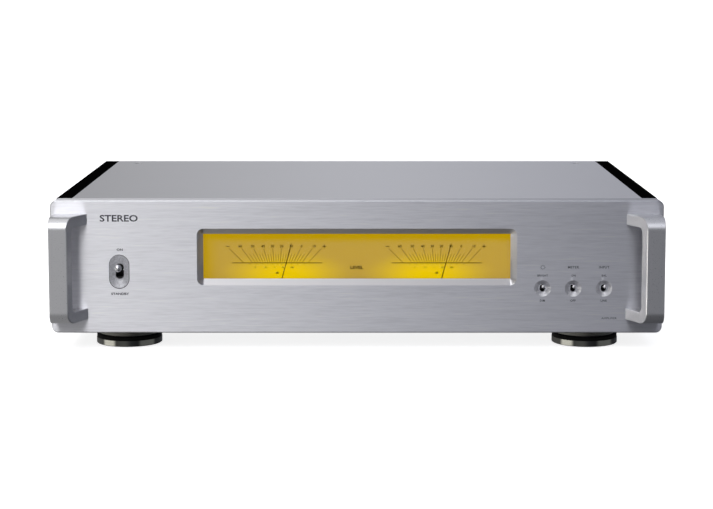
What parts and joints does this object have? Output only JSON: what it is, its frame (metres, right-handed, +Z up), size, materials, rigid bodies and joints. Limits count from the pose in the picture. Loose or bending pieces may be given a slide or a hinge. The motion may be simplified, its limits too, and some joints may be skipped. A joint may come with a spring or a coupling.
{
  "type": "power amplifier",
  "caption": "Full-width stereo power amplifier with a thick front panel, side grips, needle meters behind a bevelled window, toggle switches and disc feet.",
  "frame": {"origin": "centre of the footprint, on the surface that the feet stand on", "axes": "+X right as seen from the front, -Y towards the user, +Z up"},
  "size_m": [0.444, 0.348, 0.11],
  "materials": {
    "front_aluminium": "fine horizontal brushing, silver anodised",
    "handle_aluminium": "satin silver anodised",
    "cover_aluminium": "matte bead-blasted silver anodised",
    "black_extrusion": "black anodised",
    "switch_dish": "bead-blasted",
    "inner_aluminium": "mill finish",
    "lever_chrome": "polished chrome",
    "foot_silver": "turned",
    "foot_black": "satin black",
    "foot_nickel": "polished black nickel",
    "rubber": "matte",
    "zinc_steel": "zinc plated",
    "chassis_steel": "galvanised sheet",
    "black_steel": "fine texture black paint",
    "black_screw": "black zinc",
    "cover_screw": "nickel plated",
    "pane": "clear acrylic",
    "dial": "back-lit yellow",
    "needle": "black",
    "housing_plastic": "white",
    "movement": "black",
    "black_plastic": "moulded",
    "circuit_board": "green solder mask",
    "capacitor_sleeve": "printed sleeve",
    "winding": "taped winding",
    "component": "ceramic and film",
    "lead": "insulated lead",
    "gold": "gold plated",
    "nickel": "nickel plated",
    "white_plastic": "moulded"
  },
  "bodies": {
    "root": {"front_panel": "front_aluminium", "handle_left": "handle_aluminium", "handle_right": "handle_aluminium", "top_cover": "cover_aluminium", "side_panel_left": "black_extrusion", "side_panel_right": "black_extrusion", "power_switch_dish": "switch_dish", "heat_spreaders": "inner_aluminium", "feet_upper_discs": "foot_silver", "feet_dampers": "foot_black", "feet_rings": "foot_nickel", "feet_pads": "rubber", "chassis_fixings": "zinc_steel", "inner_screws": "zinc_steel", "spacers": "zinc_steel", "transformer_clamp": "zinc_steel", "chassis_base": "chassis_steel", "rear_panel": "black_steel", "rear_screws": "black_screw", "top_cover_screws": "cover_screw", "window_pane": "pane", "meter_dial": "dial", "meter_housing": "housing_plastic", "meter_movements": "movement", "switch_bodies": "black_plastic", "iec_inlet_housing": "black_plastic", "xlr_inserts": "black_plastic", "relays": "black_plastic", "power_semiconductors": "black_plastic", "mode_switch_frame": "black_plastic", "speaker_post_bases": "black_plastic", "front_control_board": "circuit_board", "meter_light_board": "circuit_board", "power_supply_board": "circuit_board", "amplifier_boards": "circuit_board", "input_board": "circuit_board", "reservoir_capacitors": "capacitor_sleeve", "transformer": "winding", "board_components": "component", "mains_leads": "lead", "rca_barrels": "gold", "speaker_post_studs": "gold", "xlr_housings": "nickel", "iec_inlet_pins": "nickel", "rca_insulators": "white_plastic"},
    "power_lever": {"power_lever": "lever_chrome"},
    "dimmer_lever": {"dimmer_lever": "lever_chrome"},
    "meter_lever": {"meter_lever": "lever_chrome"},
    "input_lever": {"input_lever": "lever_chrome"},
    "needle_left": {"needle_left": "needle"},
    "needle_right": {"needle_right": "needle"},
    "mode_slider": {"mode_slider": "black_plastic"},
    "terminal_washer_right_minus": {"terminal_washer_right_minus": "gold"},
    "terminal_knob_right_minus": {"terminal_knob_right_minus": "black_plastic"},
    "terminal_washer_right_plus": {"terminal_washer_right_plus": "gold"},
    "terminal_knob_right_plus": {"terminal_knob_right_plus": "black_plastic"},
    "terminal_washer_left_minus": {"terminal_washer_left_minus": "gold"},
    "terminal_knob_left_minus": {"terminal_knob_left_minus": "black_plastic"},
    "terminal_washer_left_plus": {"terminal_washer_left_plus": "gold"},
    "terminal_knob_left_plus": {"terminal_knob_left_plus": "black_plastic"}
  },
  "joints": [
    {"name": "power_toggle", "type": "hinge", "parent": "root", "child": "power_lever", "pos_m": [-0.1724, -0.1385, 0.058], "axis": [1, 0, 0], "range_deg": [0, 24]},
    {"name": "dimmer_toggle", "type": "hinge", "parent": "root", "child": "dimmer_lever", "pos_m": [0.1348, -0.1405, 0.0457], "axis": [1, 0, 0], "range_deg": [0, 20]},
    {"name": "meter_toggle", "type": "hinge", "parent": "root", "child": "meter_lever", "pos_m": [0.157, -0.1405, 0.0457], "axis": [1, 0, 0], "range_deg": [0, 20]},
    {"name": "input_toggle", "type": "hinge", "parent": "root", "child": "input_lever", "pos_m": [0.1793, -0.1405, 0.0457], "axis": [1, 0, 0], "range_deg": [0, 20]},
    {"name": "needle_left_swing", "type": "hinge", "parent": "root", "child": "needle_left", "pos_m": [-0.05825, -0.1395, 0.0384], "axis": [0, 1, 0], "range_deg": [-57, 27]},
    {"name": "needle_right_swing", "type": "hinge", "parent": "root", "child": "needle_right", "pos_m": [0.05825, -0.1395, 0.0384], "axis": [0, 1, 0], "range_deg": [-57, 27]},
    {"name": "mode_switch_slide", "type": "slide", "parent": "root", "child": "mode_slider", "axis": [1, 0, 0], "range_m": [0, 0.006]},
    {"name": "terminal_right_minus_travel", "type": "slide", "parent": "root", "child": "terminal_washer_right_minus", "axis": [0, 1, 0], "range_m": [0, 0.005]},
    {"name": "terminal_right_minus_turn", "type": "hinge", "parent": "terminal_washer_right_minus", "child": "terminal_knob_right_minus", "pos_m": [-0.055, 0.166, 0.055], "axis": [0, 1, 0], "range_deg": [0, 1440]},
    {"name": "terminal_right_plus_travel", "type": "slide", "parent": "root", "child": "terminal_washer_right_plus", "axis": [0, 1, 0], "range_m": [0, 0.005]},
    {"name": "terminal_right_plus_turn", "type": "hinge", "parent": "terminal_washer_right_plus", "child": "terminal_knob_right_plus", "pos_m": [-0.03, 0.166, 0.055], "axis": [0, 1, 0], "range_deg": [0, 1440]},
    {"name": "terminal_left_minus_travel", "type": "slide", "parent": "root", "child": "terminal_washer_left_minus", "axis": [0, 1, 0], "range_m": [0, 0.005]},
    {"name": "terminal_left_minus_turn", "type": "hinge", "parent": "terminal_washer_left_minus", "child": "terminal_knob_left_minus", "pos_m": [0.03, 0.166, 0.055], "axis": [0, 1, 0], "range_deg": [0, 1440]},
    {"name": "terminal_left_plus_travel", "type": "slide", "parent": "root", "child": "terminal_washer_left_plus", "axis": [0, 1, 0], "range_m": [0, 0.005]},
    {"name": "terminal_left_plus_turn", "type": "hinge", "parent": "terminal_washer_left_plus", "child": "terminal_knob_left_plus", "pos_m": [0.055, 0.166, 0.055], "axis": [0, 1, 0], "range_deg": [0, 1440]}
  ],
  "couplings": [
    {"joint": "terminal_right_minus_turn", "follows": "terminal_right_minus_travel", "rad_per_m": 5026.5},
    {"joint": "terminal_right_plus_turn", "follows": "terminal_right_plus_travel", "rad_per_m": 5026.5},
    {"joint": "terminal_left_minus_turn", "follows": "terminal_left_minus_travel", "rad_per_m": 5026.5},
    {"joint": "terminal_left_plus_turn", "follows": "terminal_left_plus_travel", "rad_per_m": 5026.5}
  ]
}
